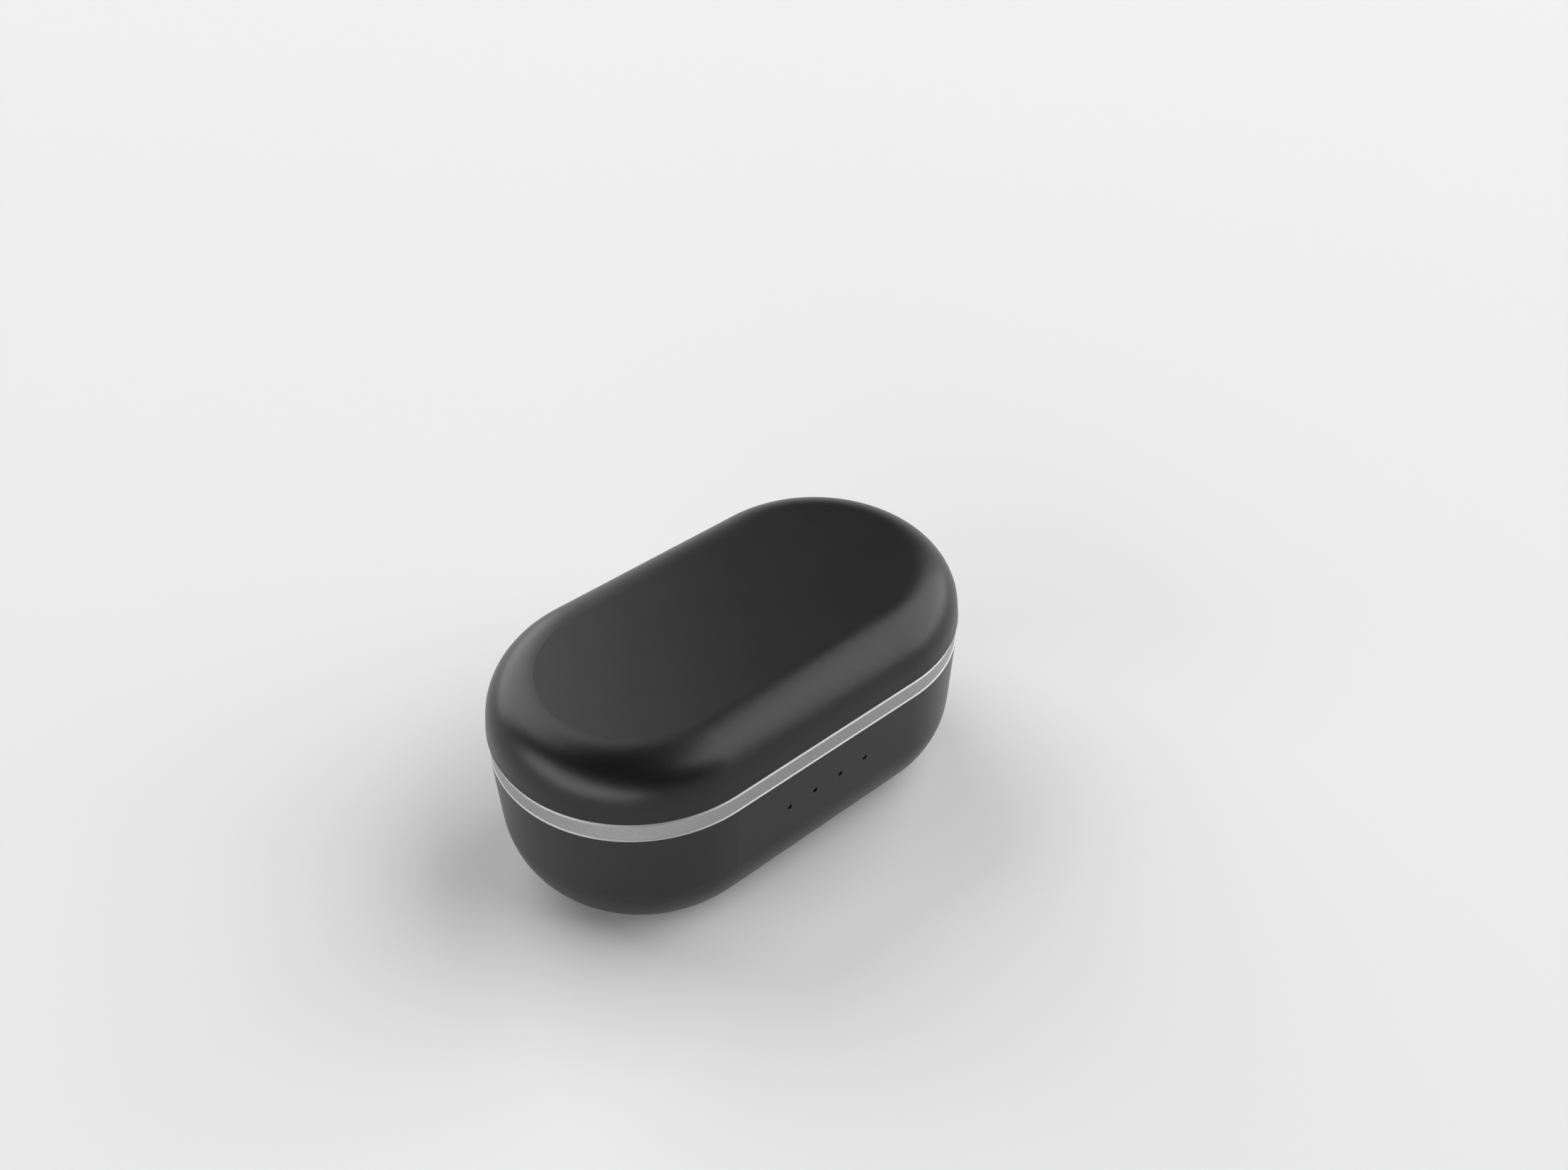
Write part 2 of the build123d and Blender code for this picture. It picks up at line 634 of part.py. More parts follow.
def lid_liner():
    """Inner cover of the lid, with a domed recess over each earbud."""
    liner = stadium(SPINE, LINER_RADIUS, LINER_Z, LINER_TOP)
    for cup in both_sides(recess_cutter(LINER_WALL)):
        liner += cup
    for side in (-1, 1):
        x = side * MAGNET_X
        liner += magnet_frame(x, MAGNET_Y, LINER_Z, LINER_TOP + MAGNET_THICK / 2)
        liner -= magnet_block(x, MAGNET_Y, LINER_TOP)
    for cutter in both_sides(recess_cutter(0)):
        liner -= cutter
    slot_side = ARM_HALF + FIT
    slot_z = (LINER_Z - OVERCUT, LINER_TOP + OVERCUT)
    return liner - block((-slot_side, slot_side), (TAB_FRONT - FIT, WIDTH), slot_z)


def hinge_bracket():
    """Base half of the hinge: a plate with two ears and two screw tabs, hung under the deck."""
    low = HINGE_Z - EAR_RADIUS
    bracket = block((-EAR_END, EAR_END), (BRACKET_FRONT, BRACKET_REAR), (low, BRACKET_TOP))
    for side in (-1, 1):
        ends = sorted((side * EAR_START, side * EAR_END))
        bracket += bar(EAR_RADIUS, ends[0], ends[1], HINGE_Y, HINGE_Z)
        bracket += block(ends, (BRACKET_FRONT, HINGE_Y), (low, BRACKET_TOP))
        tab_x = side * BRACKET_SCREW_X
        tab_half = BRACKET_TAB_WIDTH / 2
        tab_y = (BRACKET_FRONT - BRACKET_TAB_LENGTH, BRACKET_REAR)
        tab_z = (BRACKET_TOP - BRACKET_TAB_THICK, BRACKET_TOP)
        bracket += block((tab_x - tab_half, tab_x + tab_half), tab_y, tab_z)
        bracket -= post(tab_x, BRACKET_SCREW_Y, SCREW_RADIUS, low, BRACKET_TOP + OVERCUT)
        leg_x = side * (ARM_HALF + EAR_GAP / 2)
        slot = (leg_x - 1.5 * SPRING_WIRE, leg_x + 1.5 * SPRING_WIRE)
        slot_y = (BRACKET_FRONT - OVERCUT, BRACKET_REAR + OVERCUT)
        slot_z = (HINGE_Z + SPRING_RADIUS - SPRING_WIRE, BRACKET_TOP + OVERCUT)
        bracket -= block(slot, slot_y, slot_z)
    return bracket - bar(PIN_RADIUS, -LENGTH / 2, LENGTH / 2, HINGE_Y, HINGE_Z)


def hinge_pin():
    """Steel pin through both ears and the barrel, chamfered at its ends."""
    pin = bar(PIN_RADIUS, -EAR_END, EAR_END, HINGE_Y, HINGE_Z)
    rims = pin.edges().filter_by(GeomType.CIRCLE)
    return chamfer(rims, PIN_RADIUS / 4)


def coil_spring(wire, radius, turns, height):
    """Round-wire helix about Z from height 0, with its path."""
    path = Helix(pitch=height / turns, height=height, radius=radius)
    start = Plane(origin=path @ 0, z_dir=path % 0)
    return sweep(start * Circle(wire / 2), path=path, is_frenet=True), path


def hinge_spring():
    """Torsion spring on the right end of the pin: one leg up into the arm, one to the bracket."""
    first = ARM_HALF - SPRING_POCKET + SPRING_WIRE
    last = ARM_HALF + EAR_GAP / 2
    coil, path = coil_spring(SPRING_WIRE, SPRING_RADIUS, SPRING_TURNS, last - first)
    up_leg = Plane(origin=path @ 0, z_dir=-(path % 0))
    side_leg = Plane(origin=path @ 1, z_dir=path % 1)
    coil += extrude(up_leg * Circle(SPRING_WIRE / 2), SPRING_LEG)
    coil += extrude(side_leg * Circle(SPRING_WIRE / 2), SPRING_LEG)
    return Pos(first, HINGE_Y, HINGE_Z) * Rot(X=-90) * Rot(Y=90) * coil


def wall_radius(z):
    """Outside of the base's drafted wall at a height above its curved foot."""
    return BASE_RADIUS - BASE_SLOPE * (BASE_HEIGHT - z)


def lamp_y():
    """Depth of the row of lamp chips, just inside the board's front edge."""
    return -(BOARD_RADIUS - LED_SIZE)


def light_guide():
    """Clear moulding that carries light from the chips up and out to the front holes."""
    front = -(wall_radius(LAMP_Z) - BASE_WALL - FIT)
    rear = lamp_y() + GUIDE_BAR / 2
    places = lamp_places()
    half = GUIDE_BAR / 2
    guide = block((places[0] - half, places[-1] + half), (front, rear), (LAMP_Z - half, LAMP_Z + half))
    tip = wall_radius(LAMP_Z) - LAMP_RECESS
    for x in places:
        prong = Pos(x, front, LAMP_Z) * Rot(X=90) * extrude(Circle(LAMP_RADIUS - RUN), tip + front)
        low = BOARD_TOP + LED_HEIGHT + RUN
        guide += prong
        guide += block((x - half, x + half), (rear - GUIDE_BAR, rear), (low, LAMP_Z))
    return guide


def lamp_chips():
    """Row of lamps on the board under the light guide."""
    half = LED_SIZE / 2
    depth = (lamp_y() - half, lamp_y() + half)
    height = (BOARD_TOP, BOARD_TOP + LED_HEIGHT)
    return Part() + [block((x - half, x + half), depth, height) for x in lamp_places()]


def main_board():
    """Circuit board that hangs from the tray on four screws."""
    board = stadium(SPINE, BOARD_RADIUS, BOARD_Z, BOARD_TOP)
    for x, y in corner_places(BOARD_SCREW_X, BOARD_SCREW_Y):
        board -= post(x, y, SCREW_RADIUS + FIT, BOARD_Z - OVERCUT, BOARD_TOP + OVERCUT)
    return board


def board_screws():
    """Four screws from below, through the board into the tray's posts."""
    places = corner_places(BOARD_SCREW_X, BOARD_SCREW_Y)
    return Part() + [screw(x, y, BOARD_Z, SCREW_LENGTH) for x, y in places]


def bracket_screws():
    """Two screws that hold the hinge bracket up to the tray."""
    head_z = BRACKET_TOP - BRACKET_TAB_THICK
    right = screw(BRACKET_SCREW_X, BRACKET_SCREW_Y, head_z, BRACKET_SCREW_LENGTH)
    return Part() + both_sides(right)


def arm_screws():
    """Two screws that hold the hinge arm's foot up to the lid."""
    right = screw(ARM_SCREW_X, arm_screw_y(), FOOT_Z + SCREW_HEAD_HEIGHT, SCREW_LENGTH)
    return Part() + both_sides(right)


def chip(x, y, length, width, height):
    """Flat package standing on the board, its top edges slightly broken."""
    body = block(
        (x - length / 2, x + length / 2), (y - width / 2, y + width / 2), (BOARD_TOP, BOARD_TOP + height)
    )
    return chamfer(body.faces().sort_by(Axis.Z)[-1].edges(), CHIP_EDGE)


def capacitor_y():
    """Depth of the row of capacitors, just in front of the charging socket."""
    return socket_mouth() - SOCKET_DEPTH - CAPACITOR_SET


def capacitors():
    """Row of small parts in front of the charging socket."""
    width = CHIP_SMALL
    places = [(n - (CAPACITOR_COUNT - 1) / 2) * 2 * width for n in range(CAPACITOR_COUNT)]
    return Part() + [chip(x, capacitor_y(), width, 2 * width, width) for x in places]


def power_inductor():
    """Wound part of the charging circuit, beside the capacitors."""
    y = capacitor_y() - POWER_COIL_SIZE
    return chip(0, y, POWER_COIL_SIZE, POWER_COIL_SIZE, POWER_COIL_HEIGHT)


def socket_shell():
    """Pressed metal shroud of the charging socket, closed at its back."""
    mouth = socket_mouth()
    back = mouth - SOCKET_DEPTH
    shroud = along_y(socket_outline(0), back, mouth, socket_z())
    inside = socket_outline(-SOCKET_WALL)
    return shroud - along_y(inside, back + SOCKET_WALL, mouth + OVERCUT, socket_z())


def socket_tongue():
    """Plastic core of the charging socket with its flat tongue."""
    back = socket_mouth() - SOCKET_DEPTH + SOCKET_WALL
    root = socket_mouth() - TONGUE_LENGTH - SOCKET_WALL
    core = along_y(socket_outline(-SOCKET_WALL), back, root, socket_z())
    half = TONGUE_THICK / 2
    height = (socket_z() - half, socket_z() + half)
    return core + block((-TONGUE_WIDTH / 2, TONGUE_WIDTH / 2), (root, root + TONGUE_LENGTH), height)


def pogo_shoulder():
    """Height of the barrel's inner shoulder, which stops the plunger's collar."""
    return WELL_FLOOR - POGO_NECK_LENGTH


def pogo_barrel(x, y):
    """Metal tube on the board with its mouth flush in the well's floor."""
    barrel = post(x, y, POGO_RADIUS, BOARD_TOP, WELL_FLOOR)
    barrel -= post(x, y, POGO_BORE, BOARD_TOP + POGO_FLOOR, pogo_shoulder())
    return barrel - post(x, y, POGO_NECK, BOARD_TOP + POGO_FLOOR, WELL_FLOOR + OVERCUT)


def pogo_plunger(x, y):
    """Round-nosed contact with a collar that stays under the barrel's shoulder."""
    collar_top = pogo_shoulder() - RUN
    collar = post(x, y, POGO_BORE - RUN, collar_top - POGO_COLLAR, collar_top)
    nose_z = WELL_FLOOR + POGO_LIFT - POGO_TIP
    rod = post(x, y, POGO_TIP, collar_top, nose_z)
    return collar + rod + Pos(x, y, nose_z) * Sphere(POGO_TIP)


def pogo_spring(x, y):
    """Compression spring between the barrel's floor and the plunger's collar."""
    low = BOARD_TOP + POGO_FLOOR + POGO_SPRING_WIRE / 2
    high = pogo_shoulder() - RUN - POGO_COLLAR - POGO_SPRING_WIRE / 2
    radius = POGO_BORE - RUN - POGO_SPRING_WIRE
    coil = coil_spring(POGO_SPRING_WIRE, radius, POGO_SPRING_TURNS, high - low)[0]
    return Pos(x, y, low) * coil


def battery_cell():
    """Pouch cell lying on the foam pad."""
    length = (-CELL_LENGTH / 2, CELL_LENGTH / 2)
    width = (CELL_Y - CELL_WIDTH / 2, CELL_Y + CELL_WIDTH / 2)
    cell = block(length, width, (PAD_TOP, PAD_TOP + CELL_THICK))
    cell = fillet(cell.edges().filter_by(Axis.Z), CELL_THICK / 4)
    return fillet(cell.faces().sort_by(Axis.Z)[-1].edges(), CELL_THICK / 8)


def battery_tabs():
    """Two metal strips bent up from the end of the cell to the board."""
    end = CELL_LENGTH / 2
    level = PAD_TOP + CELL_THICK / 2
    thick = CELL_TAB_THICK
    tabs = []
    for step in (-1, 1):
        y = CELL_Y + step * CELL_WIDTH / 4
        width = (y - CELL_TAB_WIDTH / 2, y + CELL_TAB_WIDTH / 2)
        flat = block((end, end + CELL_TAB_REACH), width, (level, level + thick))
        upright = block((end + CELL_TAB_REACH - thick, end + CELL_TAB_REACH), width, (level, BOARD_Z))
        tabs.append(flat + upright)
    return Part() + tabs


def battery_pad():
    """Foam pad between the ferrite sheet and the cell."""
    radius = CELL_WIDTH / 2 - PAD_MARGIN
    return Pos(Y=CELL_Y) * stadium(COIL_SPINE, radius, PAD_TOP - PAD_THICK, PAD_TOP)


def charging_coil():
    """Flat receiving coil wound as a stadium, its turns shown by fine grooves."""
    pitch = (COIL_RADIUS - COIL_INNER) / COIL_TURNS
    groove = COIL_THICK / 4
    points = [(COIL_INNER, BASE_WALL), (COIL_RADIUS, BASE_WALL), (COIL_RADIUS, COIL_TOP)]
    for turn in range(COIL_TURNS - 1, 0, -1):
        valley = COIL_INNER + turn * pitch
        points.append((valley + groove / 2, COIL_TOP))
        points.append((valley, COIL_TOP - groove))
        points.append((valley - groove / 2, COIL_TOP))
    points.append((COIL_INNER, COIL_TOP))
    return pill(polygon(*points), COIL_SPINE)


def ferrite_sheet():
    """Magnetic shield over the coil."""
    radius = COIL_RADIUS + FERRITE_MARGIN
    return stadium(COIL_SPINE, radius, COIL_TOP, COIL_TOP + FERRITE_THICK)


def coil_leads():
    """Two enamelled wires from the coil's end up to the board."""
    start = -(COIL_SPINE + COIL_RADIUS)
    level = BASE_WALL + COIL_THICK / 2
    out = start - FERRITE_MARGIN - 2 * LEAD_WIRE
    leads = []
    for step in (-1, 1):
        y = step * COIL_INNER / 2
        path = FilletPolyline((start, y, level), (out, y, level), (out, y, BOARD_Z), radius=2 * LEAD_WIRE)
        leads.append(sweep(Plane(origin=path @ 0, z_dir=path % 0) * Circle(LEAD_WIRE / 2), path=path))
    return Part() + leads


def tray_magnets():
    """Two bar magnets under the deck's front edge."""
    return Part() + both_sides(magnet_block(MAGNET_X, MAGNET_Y, DECK_UNDER - MAGNET_THICK))


def lid_magnets():
    """Two bar magnets over the liner's front edge, in line with the tray's."""
    return Part() + both_sides(magnet_block(MAGNET_X, MAGNET_Y, LINER_TOP))


def bud_magnet():
    """Disc magnet under the floor of the right well."""
    top = WELL_FLOOR - WELL_WALL
    return post(WELL_X, WELL_Y, BUD_MAGNET_RADIUS, top - BUD_MAGNET_THICK, top)


def all_nodes():
    """Every sub-part under its own name."""
    nodes = {
        "base_shell": base_shell(),
        "trim_ring": trim_ring(),
        "tray": tray(),
        "lid_shell": lid_shell(),
        "lid_liner": lid_liner(),
        "hinge_arm": hinge_arm(),
        "hinge_bracket": hinge_bracket(),
        "hinge_pin": hinge_pin(),
        "arm_screws": arm_screws(),
        "bracket_screws": bracket_screws(),
        "board_screws": board_screws(),
        "lid_magnets": lid_magnets(),
        "tray_magnets": tray_magnets(),
        "main_board": main_board(),
        "processor_chip": chip(0, -CHIP_PITCH, CHIP_LARGE, CHIP_LARGE, CHIP_SMALL),
        "charger_chip": chip(0, 0, CHIP_MEDIUM, CHIP_MEDIUM, CHIP_SMALL),
        "power_inductor": power_inductor(),
        "lid_sensor": chip(0, lamp_y() + CHIP_MEDIUM, CHIP_MEDIUM, CHIP_SMALL, CHIP_SMALL),
        "capacitors": capacitors(),
        "socket_shell": socket_shell(),
        "socket_tongue": socket_tongue(),
        "light_guide": light_guide(),
        "lamp_chips": lamp_chips(),
        "battery_cell": battery_cell(),
        "battery_tabs": battery_tabs(),
        "battery_pad": battery_pad(),
        "charging_coil": charging_coil(),
        "ferrite_sheet": ferrite_sheet(),
        "coil_leads": coil_leads(),
    }
    for name, solid in (("hinge_spring", hinge_spring()), ("bud_magnet", bud_magnet())):
        right, left = both_sides(solid)
        nodes[f"{name}_left"] = left
        nodes[f"{name}_right"] = right
    for place, (x, y) in pin_places().items():
        nodes[f"pogo_barrel_{place}"] = pogo_barrel(x, y)
        nodes[f"pogo_plunger_{place}"] = pogo_plunger(x, y)
        nodes[f"pogo_spring_{place}"] = pogo_spring(x, y)
    return nodes


os.makedirs("parts", exist_ok=True)
for name, shape in all_nodes().items():
    export_step(shape, f"parts/{name}.step")
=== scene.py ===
"""Wireless earbuds case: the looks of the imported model, its springs, its studio and its camera.

Lengths are in metres and angles in degrees. A direction is (azimuth from +X towards +Y, elevation).
"""

import json
from collections import namedtuple
from math import cos, pi, radians, sin

import bpy
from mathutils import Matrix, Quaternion, Vector

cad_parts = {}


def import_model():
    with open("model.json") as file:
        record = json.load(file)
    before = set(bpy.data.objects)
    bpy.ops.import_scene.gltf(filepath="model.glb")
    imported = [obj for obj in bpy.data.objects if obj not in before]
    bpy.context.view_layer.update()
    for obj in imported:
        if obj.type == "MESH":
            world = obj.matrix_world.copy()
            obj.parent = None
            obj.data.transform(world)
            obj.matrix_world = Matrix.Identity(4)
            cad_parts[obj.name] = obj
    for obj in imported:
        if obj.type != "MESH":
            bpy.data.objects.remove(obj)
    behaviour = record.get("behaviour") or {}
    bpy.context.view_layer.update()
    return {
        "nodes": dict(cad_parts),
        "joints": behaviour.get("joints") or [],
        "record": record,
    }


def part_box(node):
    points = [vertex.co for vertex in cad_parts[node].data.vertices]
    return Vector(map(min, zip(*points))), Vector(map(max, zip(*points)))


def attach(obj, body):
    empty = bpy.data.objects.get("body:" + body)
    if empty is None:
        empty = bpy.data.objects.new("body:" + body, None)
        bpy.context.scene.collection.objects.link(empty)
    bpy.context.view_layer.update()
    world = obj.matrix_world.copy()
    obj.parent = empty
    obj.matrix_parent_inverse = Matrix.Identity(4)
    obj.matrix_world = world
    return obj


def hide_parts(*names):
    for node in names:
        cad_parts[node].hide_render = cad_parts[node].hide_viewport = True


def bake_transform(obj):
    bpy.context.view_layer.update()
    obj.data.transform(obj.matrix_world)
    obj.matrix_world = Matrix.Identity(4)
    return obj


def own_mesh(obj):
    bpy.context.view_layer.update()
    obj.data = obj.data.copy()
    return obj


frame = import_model()
nodes = frame["nodes"]

# Camera
CAMERA_TARGET = (0.02197, 0.01496, 0.01147)
CAMERA_DIRECTION = (-131.37, 40.04)
CAMERA_DISTANCE = 0.2244
CAMERA_LENS = 36.675
SENSOR_WIDTH = 36.0
CAMERA_NEAR = 0.01

# Floor, and the world's strength below and above its fade (between two elevations)
FLOOR_RADIUS = 1.5
FLOOR_SIDES = 128
FLOOR_COLOR = 0.7
FLOOR_DRIFT = 0.005
WORLD_LOW = 0.64
WORLD_HIGH = 0.024
WORLD_FADE = (8, 24)
WHITE = (1, 1, 1, 1)

SOFTBOX_DISTANCE = 3.0
Softbox = namedtuple("Softbox", "name direction width height radiance roll")
SOFTBOXES = (
    Softbox("softbox_front", (-25, 37), 4.3, 4.0, 2.2, 0),
    Softbox("softbox_back", (93, 32), 2.8, 3.2, 2.2, 0),
    Softbox("softbox_left", (190, 14), 5.4, 1.5, 2.6, -14),
)

# Outer materials: dark and light tones
CASING_TONES = ((0.0027, 0.0027, 0.0029), (0.0039, 0.0039, 0.0041))
RING_TONES = ((0.31, 0.31, 0.315), (0.46, 0.46, 0.465))
# The ring's lighter edge tone is wear and a painted highlight of the bright lines along its edges
RING_WORN_HIGHLIGHT_TONE = (0.50, 0.50, 0.505)

# Distance from the ring's upper or lower edge at which its wear and painted highlight begin, and at
# which they are full
RING_WEAR_HIGHLIGHT_BEGINS = 0.00028
RING_WEAR_HIGHLIGHT_FULL = 0.00014

# Inner materials. Scale and relief are those of the grain, and stretch draws it out along X, Y and Z.
Inner = namedtuple("Inner", "dark light roughness metal scale relief stretch", defaults=((1, 1, 1),))
INNER = {
    "inner_plastic": Inner((0.0075, 0.0075, 0.008), (0.0105, 0.0105, 0.011), 0.40, 0.0, 3600, 0.22),
    "steel": Inner((0.44, 0.44, 0.45), (0.60, 0.60, 0.61), 0.30, 1.0, 2600, 0.12, (0.08, 1, 1)),
    "screw_steel": Inner((0.10, 0.10, 0.105), (0.17, 0.17, 0.175), 0.34, 1.0, 5000, 0.15),
    "nickel": Inner((0.58, 0.57, 0.54), (0.68, 0.67, 0.64), 0.22, 1.0, 1800, 0.06),
    "gold": Inner((0.78, 0.56, 0.22), (0.88, 0.67, 0.30), 0.20, 1.0, 3000, 0.06),
    "copper": Inner((0.55, 0.24, 0.10), (0.72, 0.36, 0.18), 0.28, 1.0, 3000, 0.10),
    "ferrite": Inner((0.035, 0.035, 0.038), (0.065, 0.065, 0.07), 0.62, 0.0, 2200, 0.35),
    "chip_plastic": Inner((0.014, 0.014, 0.014), (0.022, 0.022, 0.022), 0.55, 0.0, 6000, 0.30),
    "ceramic": Inner((0.42, 0.31, 0.20), (0.52, 0.40, 0.27), 0.50, 0.0, 5000, 0.20),
    "lamp": Inner((0.78, 0.72, 0.44), (0.90, 0.86, 0.62), 0.25, 0.0, 2500, 0.05),
    "cell_foil": Inner((0.52, 0.53, 0.55), (0.66, 0.67, 0.69), 0.34, 1.0, 420, 0.45),
}
BOARD_TONES = ((0.008, 0.055, 0.022), (0.018, 0.105, 0.045))
FOAM_TONES = ((0.075, 0.075, 0.08), (0.12, 0.12, 0.13))
CLEAR_TONES = ((0.86, 0.87, 0.88), (0.95, 0.96, 0.97))

# Springs on the hinge pin
HINGE_SPRINGS = ("hinge_spring_left", "hinge_spring_right")


def direction(azimuth, elevation):
    """Unit vector towards a place in the studio."""
    a, e = radians(azimuth), radians(elevation)
    return Vector((cos(a) * cos(e), sin(a) * cos(e), sin(e)))


def add_object(name, data):
    """A new object in the scene."""
    thing = bpy.data.objects.new(name, data)
    bpy.context.scene.collection.objects.link(thing)
    return thing


# ---------------------------------------------------------------- materials


class Nodes:
    """The node tree of a material or the world, with a short call for each node."""

    def __init__(self, owner):
        owner.use_nodes = True
        self.owner = owner
        self.tree = owner.node_tree
        self.tree.nodes.clear()

    def put(self, node, key, value):
        """Links a socket to a node's input, or sets the input to a plain value."""
        if isinstance(value, bpy.types.NodeSocket):
            self.tree.links.new(value, node.inputs[key])
        else:
            node.inputs[key].default_value = value

    def add(self, kind, inputs=None, **settings):
        node = self.tree.nodes.new(kind)
        for key, value in settings.items():
            setattr(node, key, value)
        for key, value in (inputs or {}).items():
            self.put(node, key, value)
        return node

    def position(self):
        return self.add("ShaderNodeTexCoord").outputs["Object"]

    def height(self, place):
        return self.add("ShaderNodeSeparateXYZ", {"Vector": place}).outputs["Z"]

    def noise(self, scale, detail=2.0, roughness=0.5, stretch=(1, 1, 1)):
        place = self.add("ShaderNodeMapping", {"Vector": self.position(), "Scale": stretch})
        inputs = {"Vector": place.outputs[0], "Scale": scale, "Detail": detail, "Roughness": roughness}
        return self.add("ShaderNodeTexNoise", inputs).outputs["Fac"]

    def spread(self, value, low, high, start=0.0, end=1.0, curve="LINEAR"):
        """Maps a value from start to end onto low to high, and holds it there outside."""
        inputs = {"Value": value, "From Min": start, "From Max": end, "To Min": low, "To Max": high}
        return self.add("ShaderNodeMapRange", inputs, interpolation_type=curve).outputs["Result"]

    def math(self, operation, a, b=0.0):
        return self.add("ShaderNodeMath", {0: a, 1: b}, operation=operation).outputs[0]

    def mix(self, factor, dark, light):
        """A colour between two, each a socket or a plain tone."""
        dark, light = (tone + (1,) if isinstance(tone, tuple) else tone for tone in (dark, light))
        inputs = {0: factor, 6: dark, 7: light}  # the colour mode's factor, A and B
        return self.add("ShaderNodeMix", inputs, data_type="RGBA").outputs[2]

    def bump(self, height, strength, distance):
        inputs = {"Height": height, "Strength": strength, "Distance": distance}
        return self.add("ShaderNodeBump", inputs).outputs["Normal"]

    def finish(self, **inputs):
        """Ends a material in one shader, whose inputs have _ for each space in their names."""
        names = {key.replace("_", " "): value for key, value in inputs.items()}
        shader = self.add("ShaderNodeBsdfPrincipled", names)
        self.add("ShaderNodeOutputMaterial", {"Surface": shader.outputs[0]})
        return self.owner


def new_material(name):
    return Nodes(bpy.data.materials.new(name))


def casing_plastic():
    """Satin near-black moulded plastic with a very fine spark-eroded texture."""
    m = new_material("casing_plastic")
    cloud = m.noise(scale=180.0, detail=3.0)
    grain = m.noise(scale=4200.0, detail=3.0, roughness=0.6)
    color = m.mix(cloud, *CASING_TONES)
    rough = m.spread(cloud, low=0.32, high=0.36)
    normal = m.bump(grain, strength=0.4, distance=0.00002)
    return m.finish(Base_Color=color, Roughness=rough, Specular_IOR_Level=0.42, Normal=normal)


def ring_metal():
    """Bead-blasted gunmetal with a fine grain, lighter along its upper and lower edges: wear, and a
    painted highlight of the bright lines the edges catch.
    """
    m = new_material("ring_metal")
    cloud = m.noise(scale=260.0)
    grain = m.noise(scale=5200.0)
    low, high = (corner.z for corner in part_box("trim_ring"))
    middle, half = (low + high) / 2, (high - low) / 2
    offset = m.math("ABSOLUTE", m.math("SUBTRACT", m.height(m.position()), middle))
    wear_and_highlight = m.spread(offset, 0.0, 1.0, start=half - RING_WEAR_HIGHLIGHT_BEGINS, end=half - RING_WEAR_HIGHLIGHT_FULL)
    # Wear and painted highlight: the edges get a lighter tone that stands in for the bright lines they
    # catch
    color = m.mix(wear_and_highlight, m.mix(grain, *RING_TONES), RING_WORN_HIGHLIGHT_TONE)
    worn_rough = m.spread(wear_and_highlight, low=0.0, high=0.25)
    rough = m.math("ADD", m.spread(cloud, low=0.30, high=0.36), worn_rough)
    normal = m.bump(grain, strength=0.15, distance=0.00003)
    return m.finish(Base_Color=color, Metallic=1.0, Roughness=rough, Normal=normal)


def inner(name, look):
    """Inner material: two tones, uneven roughness and a fine grain in relief."""
    m = new_material(name)
    cloud = m.noise(scale=400.0, detail=3.0)
    grain = m.noise(look.scale, detail=3.0, roughness=0.55, stretch=look.stretch)
    mean = m.math("MULTIPLY", m.math("ADD", cloud, grain), 0.5)
    color = m.mix(mean, look.dark, look.light)
    rough = m.spread(cloud, low=look.roughness - 0.05, high=look.roughness + 0.05)
    normal = m.bump(grain, look.relief, distance=0.00003)
    return m.finish(Base_Color=color, Metallic=look.metal, Roughness=rough, Normal=normal)


def circuit_board():
    """Green solder resist over copper tracks, with a faint glass weave."""
    m = new_material("circuit_board")
    waves = {"Vector": m.position(), "Scale": 160.0, "Distortion": 14.0, "Detail": 1.0}
    wave = m.add("ShaderNodeTexWave", waves).outputs["Fac"]
    track = m.spread(wave, 0.0, 1.0, start=0.55, end=0.7)
    color = m.mix(track, *BOARD_TONES)
    rough = m.spread(track, low=0.32, high=0.26)
    normal = m.bump(m.math("ADD", track, m.noise(scale=3000.0)), strength=0.3, distance=0.00002)
    return m.finish(Base_Color=color, Roughness=rough, Normal=normal)


def foam():
    """Fine closed-cell foam."""
    m = new_material("foam")
    cells = m.add("ShaderNodeTexVoronoi", {"Vector": m.position(), "Scale": 2600.0}).outputs["Distance"]
    color = m.mix(cells, *FOAM_TONES)
    rough = m.spread(cells, low=0.8, high=0.95)
    normal = m.bump(cells, strength=0.6, distance=0.00008)
    return m.finish(Base_Color=color, Roughness=rough, Normal=normal)


def clear_plastic():
    """Clear moulded plastic, a little milky so that it spreads the lamps' light."""
    m = new_material("clear_plastic")
    haze = m.noise(scale=900.0, detail=3.0)
    color = m.mix(haze, *CLEAR_TONES)
    rough = m.spread(haze, low=0.18, high=0.30)
    normal = m.bump(haze, strength=0.1, distance=0.00002)
    return m.finish(Base_Color=color, Roughness=rough, Transmission_Weight=0.8, Normal=normal)


def floor_paper():
    """Matt pale paper."""
    m = new_material("floor_paper")
    tone = m.spread(m.noise(scale=3.0), low=FLOOR_COLOR - FLOOR_DRIFT, high=FLOOR_COLOR + FLOOR_DRIFT)
    return m.finish(Base_Color=tone, Roughness=0.9, Specular_IOR_Level=0.0)


OUTER = {
    "casing": casing_plastic,
    "ring_metal": ring_metal,
    "circuit_board": circuit_board,
    "foam": foam,
    "clear_plastic": clear_plastic,
}


def dress():
    """Gives every node the material of its slot."""
    made = {}
    for entry in frame["record"]["subparts"]:
        slot = entry["material_slot"]
        if slot not in made:
            made[slot] = OUTER[slot]() if slot in OUTER else inner(slot, INNER[slot])
        mesh = nodes[entry["node"]].data
        mesh.materials.clear()
        mesh.materials.append(made[slot])


# ------------------------------------------------------------------ springs


def flexing_copy(node):
    """A copy of a spring that stands for its node, which it hides."""
    piece = add_object(f"{node}_flex", nodes[node].data.copy())
    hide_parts(node)
    return piece


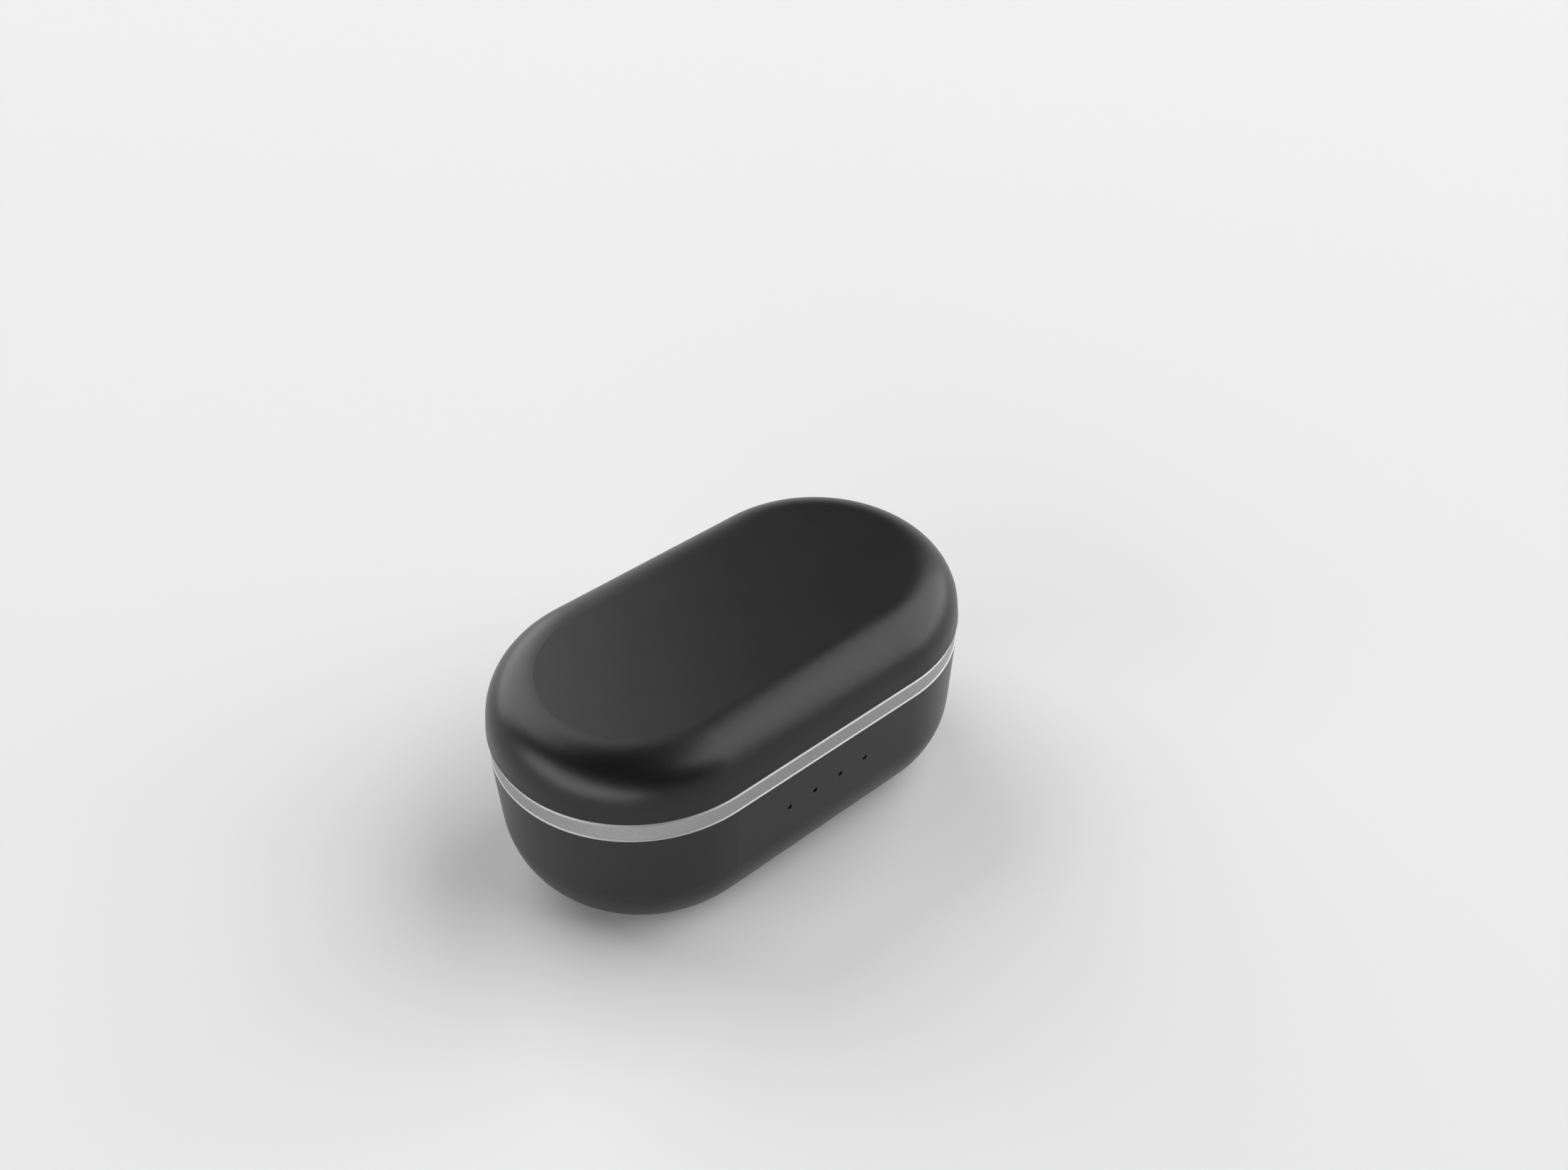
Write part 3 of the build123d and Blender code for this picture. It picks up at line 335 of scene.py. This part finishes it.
def hinge_springs():
    """Copies of the springs on the pin, which wind up with the lid (the inner leg turns, the outer leg
    stays), with their placement baked into their meshes.
    """
    for node in HINGE_SPRINGS:
        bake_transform(flexing_copy(node))


def contact_springs():
    """Copies of the contacts' springs, carried by the base with meshes of their own. In the case they
    stand on their barrels' floors and shorten by the contacts' travel.
    """
    for joint in frame["joints"]:
        if joint["type"] == "slide":
            node = joint["deforming_nodes"][0]["node"]
            piece = flexing_copy(node)
            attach(piece, "base")
            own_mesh(piece)


# ------------------------------------------------------------------- studio


def camera():
    data = bpy.data.cameras.new("camera")
    data.lens = CAMERA_LENS
    data.sensor_width = SENSOR_WIDTH
    data.clip_start = CAMERA_NEAR
    thing = add_object("camera", data)
    towards = direction(*CAMERA_DIRECTION)
    thing.location = Vector(CAMERA_TARGET) + CAMERA_DISTANCE * towards
    thing.rotation_euler = towards.to_track_quat("Z", "Y").to_euler()
    bpy.context.scene.camera = thing


def softbox(box):
    """Rectangular light that faces the origin. Its radiance is its power over four times its area."""
    data = bpy.data.lights.new(box.name, "AREA")
    data.shape = "RECTANGLE"
    data.size = box.width
    data.size_y = box.height
    data.energy = 4 * box.width * box.height * box.radiance
    thing = add_object(box.name, data)
    towards = direction(*box.direction)
    thing.location = SOFTBOX_DISTANCE * towards
    turn = Quaternion((0, 0, 1), radians(box.roll))
    thing.rotation_euler = (towards.to_track_quat("Z", "Y") @ turn).to_euler()


def floor():
    """Round sheet of paper under the object."""
    mesh = bpy.data.meshes.new("floor")
    turns = [2 * pi * side / FLOOR_SIDES for side in range(FLOOR_SIDES)]
    rim = [(FLOOR_RADIUS * cos(turn), FLOOR_RADIUS * sin(turn), 0) for turn in turns]
    mesh.from_pydata(rim, [], [tuple(range(FLOOR_SIDES))])
    mesh.materials.append(floor_paper())
    add_object("floor", mesh)


def world():
    """Soft room light: bright towards the horizon, dark overhead."""
    w = Nodes(bpy.data.worlds.new("world"))
    height = w.height(w.add("ShaderNodeTexCoord").outputs["Generated"])
    start, end = (sin(radians(elevation)) for elevation in WORLD_FADE)
    strength = w.spread(height, WORLD_LOW, WORLD_HIGH, start, end, curve="SMOOTHSTEP")
    sky = w.add("ShaderNodeBackground", {"Color": WHITE, "Strength": strength})
    w.add("ShaderNodeOutputWorld", {"Surface": sky.outputs[0]})
    bpy.context.scene.world = w.owner


dress()
hinge_springs()
contact_springs()
camera()
floor()
world()
for box in SOFTBOXES:
    softbox(box)
bpy.context.scene.view_settings.view_transform = "Standard"
